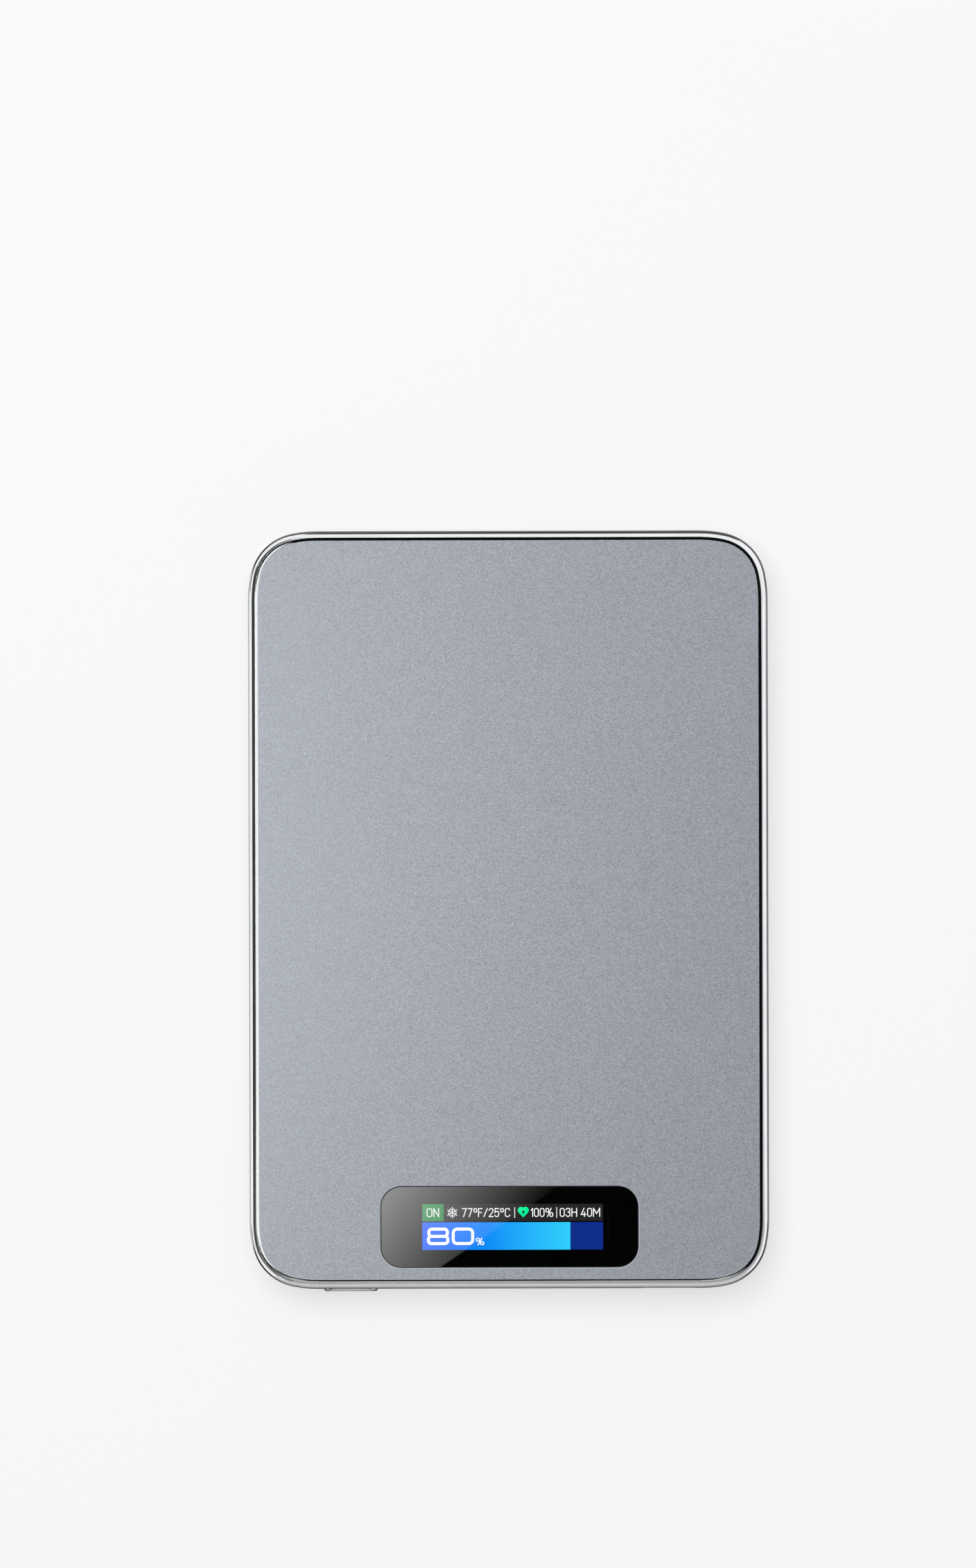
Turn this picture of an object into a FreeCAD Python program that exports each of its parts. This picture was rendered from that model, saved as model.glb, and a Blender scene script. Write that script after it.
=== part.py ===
import FreeCAD
import Part
import math
import os
from collections import namedtuple

# A slim magnetic power bank with a small display, lying on its back with the face plate up.
# Lengths are in millimetres and angles in degrees.
# The origin is the centre of the back face. +Z points out of the face plate, +Y runs from the display end,
# where the socket and the button are, to the other end, and +X is to the right of the display.

# Case outline: each corner has a gentle arc on either side of its main arc
case_width = 70.0
case_length = 102.0
case_thickness = 8.6
corner_radius = 7.0
corner_lead_radius = 16.5
corner_lead_angle = 12.0

# Frame: a polished ring with a bulging side, and a ledge for each cover
front_rise = 0.4  # the face plate stands this far above the frame
back_rise = 0.3  # the back cover stands this far below the frame
frame_round = 0.85  # radius where the edge rolls over towards a cover
side_bulge = 0.1  # the side swells this far beyond the rounds
frame_ledge = 1.2
seam = 0.04  # gap between the frame and a cover
tape_thickness = 0.1
tape_margin = 0.1

# Face plate and its display window
plate_thickness = 1.2
lens_width = 34.6
lens_height = 10.9
lens_corner = 2.8
lens_thickness = 0.6
lens_edge = 0.08  # ground edge of the glass
lens_gap = 0.05
lens_sink = 0.03  # the glass lies this far below the plate
lens_from_end = 8.45  # centre of the window, from the display end of the case
window_ledge = 1.4
window_edge = 0.12  # cut edge of the plate round the window

# Display module, bonded under the glass and clear of the opening behind the window
panel_gap = 0.32
panel_gap_left = 1.0
panel_gap_right = 2.7
panel_thickness = 0.6
bond_thickness = 0.1
bond_margin = 0.3
backlight_thickness = 0.7
backlight_border = 0.25
ribbon_width = 5.0
ribbon_thickness = 0.12
ribbon_run = 9.0  # length of the ribbon along the backlight
ribbon_clear = 0.6  # the ribbon's fold starts this far outside the panel
ribbon_tail = 4.5

# Back cover with the lugs that locate the magnets and the coil
back_thickness = 0.8
back_edge = 0.2
lug_count = 6
lug_sweep = 14.0
lug_wall = 0.6
lug_height = 0.8
lug_gap = 0.1

# Magnetic charging ring
ring_from_end = 35.0  # centre of the ring, from the plain end of the case
magnet_width = 4.0
magnet_thickness = 0.8
magnet_count = 16
magnet_gap = 0.3
yoke_thickness = 0.3
ring_opening = 32.0  # angle left free for the coil's leads
coil_inner_radius = 8.5
coil_outer_radius = 21.5
coil_clearance = 1.5  # between the coil and the magnets
coil_thickness = 0.7
ferrite_thickness = 0.4
lead_radius = 0.3
lead_spread = 4.5
lead_clearance = 0.03
bar_magnet_width = 5.2
bar_magnet_length = 12.0
bar_magnet_gap = 1.5

# Inner frame, moulded in plastic
fit_gap = 0.05
inner_wall = 1.0
board_bay = 17.0
divider_wall = 1.0
divider_drop = 0.3  # the divider ends this far below the front ledge
shelf_width = 5.2
bay_gap = 0.6

# Battery
cell_gap = 0.4
cell_corner = 2.0
cell_edge = 0.8
terrace_length = 4.0
terrace_thickness = 0.3
foam_thickness = 0.4
foam_margin = 3.0
graphite_thickness = 0.1
graphite_margin = 0.3
protection_width = 40.0
protection_depth = 3.0
protection_thickness = 0.6
tab_spacing = 32.0
tab_width = 3.0
tab_thickness = 0.12
tab_overlap = 2.4  # length of a tab on either board
sensor_size = (1.6, 0.8, 0.5)
sensor_shift = 6.0

# Main board
board_thickness = 0.8
board_gap = 0.3
screw_radius = 0.7
screw_hole_gap = 0.05
screw_head_radius = 1.25
screw_head_height = 0.5
screw_from_side = 3.6  # centre of a screw from the board's side
screw_from_divider = 3.2

# USB-C socket
socket_from_side = 13.6
socket_width = 8.94
socket_height = 3.16
socket_length = 7.35
socket_wall = 0.3
socket_lip = 0.02  # the shell's mouth lies this far inside the outermost line
socket_gap = 0.1
socket_relief = 0.3  # the shallow recess for a plug is this much wider than the shell, on each side
socket_relief_reach = 0.35  # the recess runs this far into the edge rounds
socket_relief_corner = 2.0
socket_relief_depth = 0.25
tongue_width = 6.69
tongue_thickness = 0.7
tongue_setback = 1.1
tongue_base = 1.6
tongue_fit = 0.03
contact_count = 12
contact_pitch = 0.5
contact_width = 0.25
contact_length = 3.2
contact_thickness = 0.05

# Power button and its switch
button_from_side = 13.6
button_width = 7.4
button_height = 2.6
button_proud = 0.37
button_edge = 0.25
button_gap = 0.1
button_relief = 0.18
button_relief_depth = 0.2
button_flange_width = 8.0
button_flange_height = 4.2
button_flange_thickness = 0.6
button_travel = 0.25
switch_width = 4.6
switch_depth = 2.2
plunger_width = 2.0
plunger_height = 1.2
plunger_reach = 0.6  # length outside the switch
plunger_root = 0.5  # length inside the switch
plunger_gap = 0.06

# Parts on the main board: centre from the case's middle and from the divider, then width, depth and height
inductors = ((-8.6, 5.4, 5.2, 5.2, 3.0), (-1.6, 5.4, 5.2, 5.2, 3.0))
chips = ((8.6, 6.0, 7.0, 7.0, 0.85), (22.0, 7.2, 5.0, 5.0, 0.85), (-21.0, 7.2, 4.0, 4.0, 0.75))
capacitor_count = 7
capacitor_pitch = 2.6
capacitor_from_divider = 11.2
capacitor_size = (1.6, 3.2, 1.6)
connector_size = (2.6, 6.2, 1.0)

# Places that follow from the sizes above
up = FreeCAD.Vector(0, 0, 1)
half_width = case_width / 2
half_length = case_length / 2
corner_lead = math.radians(corner_lead_angle)
corner_step = corner_lead_radius - corner_radius
corner_reach = corner_lead_radius - corner_step * (math.cos(corner_lead) - math.sin(corner_lead))

frame_top = case_thickness - front_rise
frame_bottom = back_rise
side_middle = (frame_top + frame_bottom) / 2
frame_edge = frame_round + side_bulge
cover_depth = frame_edge + seam
wall_depth = frame_edge + frame_ledge
plate_bottom = case_thickness - plate_thickness
front_ledge = plate_bottom - tape_thickness
back_ledge = back_thickness + tape_thickness

inner_frame_depth = wall_depth + fit_gap
room_depth = inner_frame_depth + inner_wall
room_half_width = half_width - room_depth
room_low = -half_length + room_depth
divider_low = room_low + board_bay
divider_high = divider_low + divider_wall
front_wall = -half_length + wall_depth  # inner face of the frame at the display end

board_top = side_middle - socket_height / 2
board_bottom = board_top - board_thickness
socket_x = half_width - socket_from_side
socket_front = -half_length + socket_lip
socket_back = socket_front + socket_length
button_x = -half_width + button_from_side
flange_back = front_wall + button_flange_thickness
switch_front = flange_back + plunger_reach

lens_y = -half_length + lens_from_end
lens_top = case_thickness - lens_sink
lens_bottom = lens_top - lens_thickness
window_floor = lens_bottom - tape_thickness
panel_top = lens_bottom - bond_thickness
panel_bottom = panel_top - panel_thickness
backlight_bottom = panel_bottom - backlight_thickness
opening_width = lens_width - 2 * window_ledge
opening_height = lens_height - 2 * window_ledge
panel_right = opening_width / 2 - panel_gap_right
panel_left = -opening_width / 2 + panel_gap_left
panel_half_height = opening_height / 2 - panel_gap

ring_y = half_length - ring_from_end
magnet_inner_radius = coil_outer_radius + coil_clearance
magnet_outer_radius = magnet_inner_radius + magnet_width
magnet_top = back_thickness + magnet_thickness
yoke_top = magnet_top + yoke_thickness
coil_top = back_thickness + coil_thickness
ferrite_top = coil_top + ferrite_thickness
ring_top = max(yoke_top, ferrite_top)
lug_outer_radius = magnet_outer_radius + lug_gap
lug_inner_radius = magnet_inner_radius - lug_gap - lug_wall

cell_bottom = ring_top + graphite_thickness
cell_top = plate_bottom - foam_thickness
cell_low = divider_high + cell_gap + terrace_length
terrace_bottom = (cell_bottom + cell_top - terrace_thickness) / 2
terrace_top = terrace_bottom + terrace_thickness
protection_top = terrace_top + protection_thickness
protection_low = divider_high + cell_gap

Run = namedtuple("Run", "start end outward centre sweep")


def vec(x, y, z=0.0):
    return FreeCAD.Vector(x, y, z)


def turned(length, angle):
    """Vector of a given length in the XY plane."""
    return vec(length * math.cos(math.radians(angle)), length * math.sin(math.radians(angle)))


def block(x0, x1, y0, y1, z0, z1):
    return Part.makeBox(x1 - x0, y1 - y0, z1 - z0, vec(x0, y0, z0))


def centred_block(x, y, width, depth, z0, z1):
    return block(x - width / 2, x + width / 2, y - depth / 2, y + depth / 2, z0, z1)


def upright_edges(solid):
    """Edges that run along Z."""
    return [e for e in solid.Edges if abs(e.tangentAt(e.FirstParameter).z) > 0.999]


def edges_at_height(solid, z):
    return [e for e in solid.Edges if abs(e.BoundBox.ZMin - z) < 1e-4 and abs(e.BoundBox.ZMax - z) < 1e-4]


def rounded_block(x, y, width, depth, corner, z0, z1):
    plain = centred_block(x, y, width, depth, z0, z1)
    return plain.makeFillet(corner, upright_edges(plain))


def upright_section(x0, x1, z0, z1):
    """Rectangle in the XZ plane."""
    corners = [vec(x0, 0, z0), vec(x1, 0, z0), vec(x1, 0, z1), vec(x0, 0, z1)]
    return Part.Face(Part.makePolygon(corners + corners[:1]))


def ring_sector(inner, outer, z0, z1, start, sweep):
    """Part of a flat ring round the charging ring's centre, from a start angle through a sweep."""
    section = upright_section(inner, outer, z0, z1)
    section.Placement = FreeCAD.Placement(vec(0, ring_y), FreeCAD.Rotation(up, start))
    return section.revolve(vec(0, ring_y), up, sweep)


def pill(x, width, height, y0, y1):
    """Bar with a stadium-shaped section at the middle of the case's side, from y0 to y1."""
    radius = height / 2
    right = vec(x + width / 2 - radius, y0, side_middle)
    left = vec(x - width / 2 + radius, y0, side_middle)
    top = vec(0, 0, radius)
    side = vec(radius, 0, 0)
    outline = Part.Wire([
        Part.LineSegment(left + top, right + top).toShape(),
        Part.Arc(right + top, right + side, right - top).toShape(),
        Part.LineSegment(right - top, left - top).toShape(),
        Part.Arc(left - top, left - side, left + top).toShape(),
    ])
    return Part.Face(outline).extrude(vec(0, y1 - y0, 0))


def case_runs():
    """The case's outermost line as straight runs and bends, anticlockwise from the right-hand side."""
    first = (half_width - corner_lead_radius, half_length - corner_reach)
    main = (first[0] + corner_step * math.cos(corner_lead), first[1] + corner_step * math.sin(corner_lead))
    last = (half_width - corner_reach, half_length - corner_lead_radius)
    bends = (
        (first, corner_lead_radius, 0.0, corner_lead_angle),
        (main, corner_radius, corner_lead_angle, 90 - 2 * corner_lead_angle),
        (last, corner_lead_radius, 90 - corner_lead_angle, corner_lead_angle),
    )
    runs = []
    for quarter, (sign_x, sign_y) in enumerate(((1, 1), (-1, 1), (-1, -1), (1, -1))):
        outward = 90 * quarter
        odd = quarter % 2
        across = half_length if odd else half_width
        along = (half_width if odd else half_length) - corner_reach
        middle = turned(across, outward)
        reach = turned(along, outward + 90)
        runs.append(Run(middle - reach, middle + reach, outward, None, None))
        for centre, radius, begin, sweep in (reversed(bends) if odd else bends):
            angle = outward + (90 - begin - sweep if odd else begin)
            hub = vec(sign_x * centre[0], sign_y * centre[1])
            end = hub + turned(radius, angle + sweep)
            runs.append(Run(hub + turned(radius, angle), end, angle, hub, sweep))
    return runs


def ring_round_case(section):
    """Solid made by carrying a section round the case. Its X is the depth from the outermost line."""
    spans = []
    for run in case_runs():
        face = section.copy()
        face.Placement = FreeCAD.Placement(run.start, FreeCAD.Rotation(up, run.outward + 180))
        if run.centre is None:
            spans.append(face.extrude(run.end - run.start))
        else:
            spans.append(face.revolve(run.centre, up, run.sweep))
    return spans[0].multiFuse(spans[1:]).removeSplitter()


def ledge_tape(z0, z1):
    """Flat band of tape between a ledge of the frame and a cover."""
    return ring_round_case(upright_section(cover_depth + tape_margin, wall_depth - tape_margin, z0, z1))


def slab(depth, z0, z1):
    """Plate with the case's outline, a given depth inside the outermost line."""
    lift = vec(0, 0, z0)
    edges = []
    for run in case_runs():
        inward = turned(depth, run.outward + 180)
        if run.centre is None:
            edges.append(Part.LineSegment(run.start + inward + lift, run.end + inward + lift).toShape())
        else:
            radius = (run.start - run.centre).Length - depth
            angles = (run.outward, run.outward + run.sweep / 2, run.outward + run.sweep)
            points = [run.centre + turned(radius, angle) + lift for angle in angles]
            edges.append(Part.Arc(*points).toShape())
    return Part.Face(Part.Wire(edges)).extrude(vec(0, 0, z1 - z0))


def bay_slab(margin, low, z0, z1):
    """Plate that fills the battery's bay above a given y, inset by a margin from the inner frame."""
    room = slab(room_depth + margin, z0, z1)
    return room.common(block(-half_width, half_width, low, half_length, z0, z1))


def frame_section():
    """Section of the frame: two edge rounds run into a bulging side, with a ledge behind each cover."""
    half_height = side_middle - frame_bottom
    chord = frame_edge**2 + half_height**2 - 2 * frame_round * half_height
    bulge = chord / 2 / side_bulge
    lean = math.atan2(half_height - frame_round, bulge - frame_edge)
    halfway = (lean + math.pi / 2) / 2
    meet = (bulge * (1 - math.cos(lean)), bulge * math.sin(lean))
    crown_rise = half_height - frame_round * (1 - math.sin(halfway))
    crown = (frame_edge - frame_round * math.cos(halfway), crown_rise)

    def point(depth, rise):
        return vec(depth, 0, side_middle + rise)

    front = Part.Arc(point(frame_edge, half_height), point(*crown), point(*meet))
    side = Part.Arc(point(*meet), point(0, 0), point(meet[0], -meet[1]))
    back = Part.Arc(point(meet[0], -meet[1]), point(crown[0], -crown[1]), point(frame_edge, -half_height))
    inside = Part.makePolygon([
        vec(frame_edge, 0, frame_bottom),
        vec(frame_edge, 0, back_ledge),
        vec(wall_depth, 0, back_ledge),
        vec(wall_depth, 0, front_ledge),
        vec(frame_edge, 0, front_ledge),
        vec(frame_edge, 0, frame_top),
    ])
    return Part.Face(Part.Wire([front.toShape(), side.toShape(), back.toShape()] + inside.Edges))


def make_frame():
    """Ring with openings for the socket and the button, in a recess for a plug and in a shallow step."""
    frame = ring_round_case(frame_section())
    outside = -half_length - button_proud
    socket = (socket_x, socket_width, socket_height, socket_gap)
    button = (button_x, button_width, button_height, button_gap)
    for x, width, height, gap in (socket, button):
        frame = frame.cut(pill(x, width + 2 * gap, height + 2 * gap, outside, front_wall))
    recess_height = 2 * (side_middle - frame_bottom - frame_round + socket_relief_reach)
    recess = rounded_block(socket_x, 0, socket_width + 2 * socket_relief, recess_height, socket_relief_corner,
                           outside, -half_length + socket_relief_depth)
    recess.rotate(vec(0, 0, 0), vec(1, 0, 0), -90)
    recess.translate(vec(0, 0, side_middle))
    step = pill(button_x, button_width + 2 * button_relief, button_height + 2 * button_relief,
                outside, -half_length + button_relief_depth)
    return frame.cut(recess).cut(step)


def make_front_plate():
    """Plate with a cut edge and a stepped window that the display glass drops into."""
    plate = slab(cover_depth, plate_bottom, case_thickness)
    plate = plate.makeChamfer(front_rise, edges_at_height(plate, case_thickness))
    pocket = rounded_block(0, lens_y, lens_width + 2 * lens_gap, lens_height + 2 * lens_gap,
                           lens_corner + lens_gap, window_floor, case_thickness)
    opening = rounded_block(0, lens_y, opening_width, opening_height, lens_corner - window_ledge,
                            plate_bottom, case_thickness)
    plate = plate.cut(pocket).cut(opening)
    mouth = pocket.BoundBox
    mouth.enlarge(lens_gap)
    rim = [e for e in edges_at_height(plate, case_thickness) if mouth.isInside(e.BoundBox)]
    return plate.makeChamfer(window_edge, rim)


def make_display_lens():
    glass = rounded_block(0, lens_y, lens_width, lens_height, lens_corner, lens_bottom, lens_top)
    return glass.makeChamfer(lens_edge, edges_at_height(glass, lens_top))


def make_lens_tape():
    outer = rounded_block(0, lens_y, lens_width - 2 * tape_margin, lens_height - 2 * tape_margin,
                          lens_corner - tape_margin, window_floor, lens_bottom)
    trim = window_ledge + tape_margin - lens_gap
    inner = rounded_block(0, lens_y, lens_width - 2 * trim, lens_height - 2 * trim,
                          lens_corner - trim, window_floor, lens_bottom)
    return outer.cut(inner)


def panel_block(border, z0, z1):
    return block(panel_left + border, panel_right - border, lens_y - panel_half_height + border,
                 lens_y + panel_half_height - border, z0, z1)


def make_display_backlight():
    """Moulded tray with rounded corners, behind the glass of the display."""
    tray = panel_block(backlight_border, backlight_bottom, panel_bottom)
    return tray.makeFillet(backlight_border, upright_edges(tray))


def bent_strip(path, thickness, width):
    """Thin strip that lies on the left of a bent path, drawn out by its width."""
    return path.makeOffset2D(thickness, 0, True, True).extrude(width)


def make_display_ribbon():
    """Flat ribbon that leaves the back of the display, folds over and lies on its connector."""
    fold_x = panel_left - ribbon_clear
    y = lens_y - ribbon_width / 2
    upper = vec(fold_x, y, backlight_bottom)
    lower = vec(fold_x, y, board_top + connector_size[2])
    crest = (upper + lower) / 2 - vec((upper - lower).Length / 2, 0)
    path = Part.Wire([
        Part.LineSegment(upper + vec(ribbon_run, 0), upper).toShape(),
        Part.Arc(upper, crest, lower).toShape(),
        Part.LineSegment(lower, lower + vec(ribbon_tail, 0)).toShape(),
    ])
    return bent_strip(path, ribbon_thickness, vec(0, ribbon_width))


def make_back_cover():
    """Cover with a cut edge, and with lugs inside and outside the ring of magnets."""
    cover = slab(cover_depth, 0, back_thickness)
    cover = cover.makeChamfer(back_edge, edges_at_height(cover, 0))
    room = (360 - ring_opening) / lug_count
    first = -90 + (ring_opening + room - lug_sweep) / 2
    lug_top = back_thickness + lug_height
    lugs = [
        ring_sector(radius, radius + lug_wall, back_thickness, lug_top, first + room * number, lug_sweep)
        for radius in (lug_inner_radius, lug_outer_radius)
        for number in range(lug_count)
    ]
    return cover.multiFuse(lugs).removeSplitter()


def screw_places():
    side = room_half_width - board_gap - screw_from_side
    y = divider_low - board_gap - screw_from_divider
    return [(-side, y), (side, y)]


def screw_hole(x, y, z0, z1):
    return Part.makeCylinder(screw_radius + screw_hole_gap, z1 - z0, vec(x, y, z0))


def make_inner_frame():
    """Moulded wall inside the metal frame, with a divider, two board shelves and clearances."""
    wall = ring_round_case(upright_section(inner_frame_depth, room_depth, back_thickness, front_ledge))
    divider_top = front_ledge - divider_drop
    spread = half_width - inner_frame_depth
    shelf_inside = room_half_width - shelf_width
    webs = block(-spread, spread, divider_low, divider_high, back_thickness, divider_top)
    for x0, x1 in ((-spread, -shelf_inside), (shelf_inside, spread)):
        webs = webs.fuse(block(x0, x1, room_low - inner_wall, divider_high, back_thickness, board_bottom))
    body = wall.fuse(webs.common(slab(inner_frame_depth + inner_wall / 2, back_thickness, divider_top)))

    bay_floor = board_bottom - board_gap
    for x, width in ((socket_x, socket_width), (button_x, button_flange_width)):
        bay_width = width + 2 * bay_gap
        body = body.cut(centred_block(x, room_low, bay_width, 4 * inner_wall, bay_floor, front_ledge))
    lead_slot = 2 * (lead_spread + 2 * lead_radius + bay_gap)
    divider_middle = (divider_low + divider_high) / 2
    body = body.cut(centred_block(0, divider_middle, lead_slot, 2 * divider_wall, back_thickness, ring_top))
    for x in (-tab_spacing / 2, tab_spacing / 2):
        body = body.cut(centred_block(x, divider_middle, tab_width + 2 * bay_gap, 2 * divider_wall,
                                      protection_top - bay_gap, divider_top))
    for x, y in screw_places():
        body = body.cut(screw_hole(x, y, back_thickness, board_bottom))
    return body.removeSplitter()


def make_charging_coil():
    return ring_sector(coil_inner_radius, coil_outer_radius, back_thickness, coil_top, 0, 360)


def make_coil_leads():
    """Two straight leads from the edge of the coil to the underside of the main board."""
    leads = []
    for x in (-lead_spread, lead_spread):
        edge = math.sqrt(coil_outer_radius**2 - (lead_spread - lead_radius) ** 2)
        start = vec(x, ring_y - edge - lead_clearance, back_thickness + lead_radius + lead_clearance)
        end = vec(x, divider_low - tab_overlap, board_bottom - lead_radius - lead_clearance)
        leads.append(Part.makeCylinder(lead_radius, (end - start).Length, start, end - start))
    return Part.makeCompound(leads)


def make_ring_magnets():
    room = (360 - ring_opening) / magnet_count
    gap = math.degrees(magnet_gap / magnet_inner_radius)
    start = -90 + ring_opening / 2 + gap / 2
    return Part.makeCompound([
        ring_sector(magnet_inner_radius, magnet_outer_radius, back_thickness, magnet_top,
                    start + room * number, room - gap)
        for number in range(magnet_count)
    ])


def make_magnet_yoke():
    return ring_sector(magnet_inner_radius, magnet_outer_radius, magnet_top, yoke_top,
                       -90 + ring_opening / 2, 360 - ring_opening)


def make_bar_magnet():
    high = ring_y - lug_outer_radius - lug_wall - bar_magnet_gap
    return block(-bar_magnet_width / 2, bar_magnet_width / 2, high - bar_magnet_length, high,
                 back_thickness, magnet_top)


def make_battery_cell():
    """Pouch cell with soft edges, and a thin sealed terrace at the end where its tabs come out."""
    pouch = bay_slab(cell_gap, cell_low, cell_bottom, cell_top)
    low_corners = [e for e in upright_edges(pouch) if abs(e.BoundBox.YMin - cell_low) < 1e-4]
    pouch = pouch.makeFillet(cell_corner, low_corners)
    rims = edges_at_height(pouch, cell_bottom) + edges_at_height(pouch, cell_top)
    pouch = pouch.makeChamfer(cell_edge, rims)
    half = room_half_width - cell_gap - cell_corner
    terrace = block(-half, half, divider_high + cell_gap, cell_low + cell_edge, terrace_bottom, terrace_top)
    return pouch.fuse(terrace).removeSplitter()


def make_battery_tabs():
    """Nickel strips that step down from the protection board, over the divider, to the main board."""
    drop_y = divider_low - 2 * board_gap
    tabs = []
    for x in (-tab_spacing / 2 - tab_width / 2, tab_spacing / 2 - tab_width / 2):
        path = Part.makePolygon([
            vec(x, protection_low + tab_overlap, protection_top),
            vec(x, drop_y, protection_top),
            vec(x, drop_y, board_top),
            vec(x, drop_y - tab_overlap, board_top),
        ])
        tabs.append(bent_strip(path, tab_thickness, vec(tab_width, 0)))
    return Part.makeCompound(tabs)


def make_protection_board():
    middle = protection_low + protection_depth / 2
    return centred_block(0, middle, protection_width, protection_depth, terrace_top, protection_top)


def make_temperature_sensor():
    width, depth, height = sensor_size
    return centred_block(sensor_shift, protection_low + protection_depth / 2, width, depth,
                         protection_top, protection_top + height)


def make_main_board():
    board = slab(room_depth + board_gap, board_bottom, board_top)
    board = board.common(block(-half_width, half_width, -half_length, divider_low - board_gap,
                               board_bottom, board_top))
    for x, y in screw_places():
        board = board.cut(screw_hole(x, y, board_bottom, board_top))
    return board


def make_board_screws():
    screws = []
    for x, y in screw_places():
        shank = Part.makeCylinder(screw_radius, board_top - back_ledge, vec(x, y, back_ledge))
        head = Part.makeCylinder(screw_head_radius, screw_head_height, vec(x, y, board_top))
        screws.append(head.fuse(shank).removeSplitter())
    return Part.makeCompound(screws)


def board_parts(rows):
    """Boxes that stand on the main board."""
    boxes = []
    for x, from_divider, width, depth, height in rows:
        y = divider_low - from_divider
        boxes.append(centred_block(x, y, width, depth, board_top, board_top + height))
    return Part.makeCompound(boxes)


def make_capacitors():
    width, depth, height = capacitor_size
    first = -capacitor_pitch * (capacitor_count - 1) / 2
    return board_parts([
        (first + capacitor_pitch * number, capacitor_from_divider, width, depth, height)
        for number in range(capacitor_count)
    ])


def make_display_connector():
    width, depth, height = connector_size
    x = panel_left - ribbon_clear + ribbon_tail - width / 2
    return centred_block(x, lens_y, width, depth, board_top, board_top + height)


def make_socket_shell():
    outer = pill(socket_x, socket_width, socket_height, socket_front, socket_back)
    inner = pill(socket_x, socket_width - 2 * socket_wall, socket_height - 2 * socket_wall,
                 socket_front, socket_back)
    return outer.cut(inner)


def make_socket_tongue():
    trim = 2 * (socket_wall + tongue_fit)
    base_front = socket_back - tongue_base
    base = pill(socket_x, socket_width - trim, socket_height - trim, base_front, socket_back)
    blade = block(socket_x - tongue_width / 2, socket_x + tongue_width / 2,
                  socket_front + tongue_setback, base_front,
                  side_middle - tongue_thickness / 2, side_middle + tongue_thickness / 2)
    return base.fuse(blade).removeSplitter()


def make_socket_contacts():
    """Gold strips in a row on each side of the tongue."""
    first = socket_x - contact_pitch * (contact_count - 1) / 2
    y = socket_back - tongue_base - contact_length / 2
    strips = []
    for z in (side_middle - tongue_thickness / 2 - contact_thickness, side_middle + tongue_thickness / 2):
        for number in range(contact_count):
            x = first + contact_pitch * number
            strips.append(centred_block(x, y, contact_width, contact_length, z, z + contact_thickness))
    return Part.makeCompound(strips)


def make_power_button():
    """Key that stands out of the frame, with a flange that keeps it in."""
    tip = -half_length - button_proud
    key = pill(button_x, button_width, button_height, tip, front_wall)
    rim = [e for e in key.Edges if abs(e.BoundBox.YMin - tip) < 1e-4 and abs(e.BoundBox.YMax - tip) < 1e-4]
    key = key.makeChamfer(button_edge, rim)
    flange = pill(button_x, button_flange_width, button_flange_height, front_wall, flange_back)
    return key.fuse(flange).removeSplitter()


def plunger_block(margin, y0, y1):
    half_across = plunger_width / 2 + margin
    half_high = plunger_height / 2 + margin
    return block(button_x - half_across, button_x + half_across, y0, y1,
                 side_middle - half_high, side_middle + half_high)


def make_switch_body():
    """Side-push switch with a pocket that its plunger slides in."""
    body = block(button_x - switch_width / 2, button_x + switch_width / 2,
                 switch_front, switch_front + switch_depth, board_top, 2 * side_middle - board_top)
    pocket_end = switch_front + plunger_root + button_travel + plunger_gap
    pocket = plunger_block(plunger_gap, switch_front, pocket_end)
    return body.cut(pocket)


def make_switch_plunger():
    return plunger_block(0, flange_back, switch_front + plunger_root)


pieces = {
    "frame": make_frame(),
    "front_plate": make_front_plate(),
    "front_plate_tape": ledge_tape(front_ledge, plate_bottom),
    "display_lens": make_display_lens(),
    "lens_tape": make_lens_tape(),
    "display_bond": panel_block(bond_margin, panel_top, lens_bottom),
    "display_panel": panel_block(0, panel_bottom, panel_top),
    "display_backlight": make_display_backlight(),
    "display_ribbon": make_display_ribbon(),
    "display_connector": make_display_connector(),
    "back_cover": make_back_cover(),
    "back_cover_tape": ledge_tape(back_thickness, back_ledge),
    "inner_frame": make_inner_frame(),
    "charging_coil": make_charging_coil(),
    "coil_leads": make_coil_leads(),
    "ferrite_sheet": Part.makeCylinder(coil_outer_radius, ferrite_thickness, vec(0, ring_y, coil_top)),
    "ring_magnets": make_ring_magnets(),
    "magnet_yoke": make_magnet_yoke(),
    "bar_magnet": make_bar_magnet(),
    "graphite_sheet": bay_slab(graphite_margin, cell_low, ring_top, cell_bottom),
    "battery_cell": make_battery_cell(),
    "cell_foam": bay_slab(foam_margin, cell_low + foam_margin, cell_top, plate_bottom),
    "protection_board": make_protection_board(),
    "temperature_sensor": make_temperature_sensor(),
    "battery_tabs": make_battery_tabs(),
    "main_board": make_main_board(),
    "board_screws": make_board_screws(),
    "power_inductors": board_parts(inductors),
    "control_chips": board_parts(chips),
    "capacitors": make_capacitors(),
    "socket_shell": make_socket_shell(),
    "socket_tongue": make_socket_tongue(),
    "socket_contacts": make_socket_contacts(),
    "power_button": make_power_button(),
    "switch_body": make_switch_body(),
    "switch_plunger": make_switch_plunger(),
}

os.makedirs("parts", exist_ok=True)
for name, shape in pieces.items():
    shape.exportStep(f"parts/{name}.step")
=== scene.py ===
import math

import bmesh
import bpy
from mathutils import Matrix, Vector


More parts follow.
